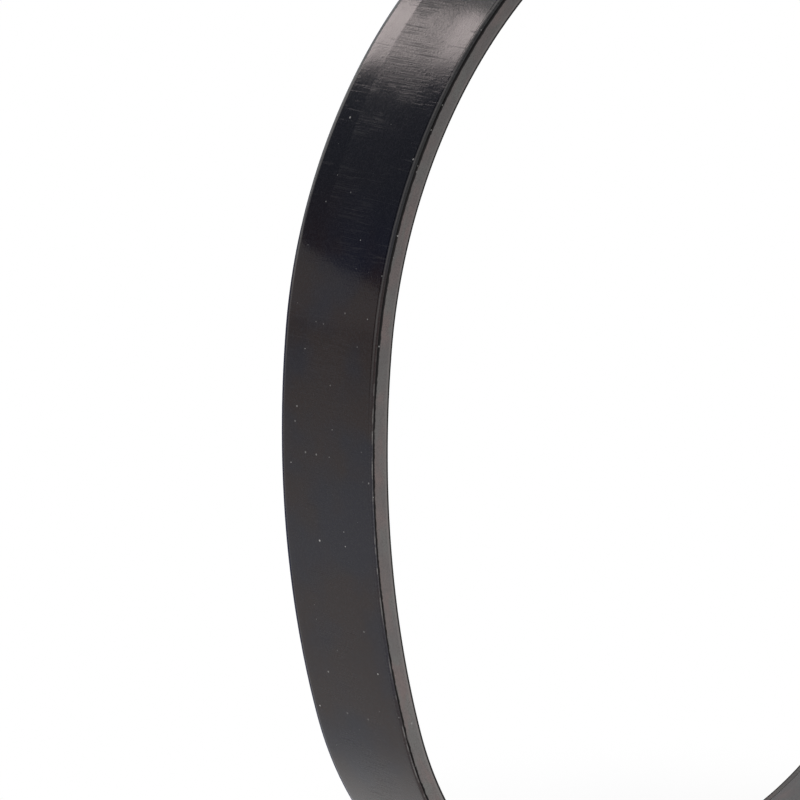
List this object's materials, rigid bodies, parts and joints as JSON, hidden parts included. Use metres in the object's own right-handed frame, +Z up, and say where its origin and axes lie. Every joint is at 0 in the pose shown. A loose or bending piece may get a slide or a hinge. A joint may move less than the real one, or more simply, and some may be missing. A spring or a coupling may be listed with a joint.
{
  "type": "rubber track",
  "caption": "Smooth endless rubber track band without lugs: covers, bias plies, cushion gum and wound steel cables laminated into one loop that stands free on a flattened foot.",
  "frame": {"origin": "middle of the flat foot that the loop stands on, half way across the band", "axes": "+Z up towards the crown of the loop, Y across the band along the axis of the wheels that it would run on, X along the foot"},
  "size_m": [0.7686, 0.1, 0.8606],
  "materials": {
    "tread_rubber": "smooth, glossy, lightly scuffed",
    "wheel_rubber": "smooth, matte",
    "edge_rubber": "matte, trimmed",
    "carcass_gum": "matte",
    "ply_fabric": "rubberised cord fabric",
    "cable_steel": "stranded wire"
  },
  "bodies": {
    "root": {"tread_cover": "tread_rubber", "outer_bias_ply": "ply_fabric", "cross_bias_ply": "ply_fabric", "outer_cushion_gum": "carcass_gum", "tension_cable_s": "cable_steel", "tension_cable_z": "cable_steel", "insulation_gum_s": "carcass_gum", "insulation_gum_z": "carcass_gum", "inner_cushion_gum": "carcass_gum", "inner_bias_ply": "ply_fabric", "wheel_cover": "wheel_rubber", "near_edge_gum": "edge_rubber", "far_edge_gum": "edge_rubber"}
  },
  "joints": []
}
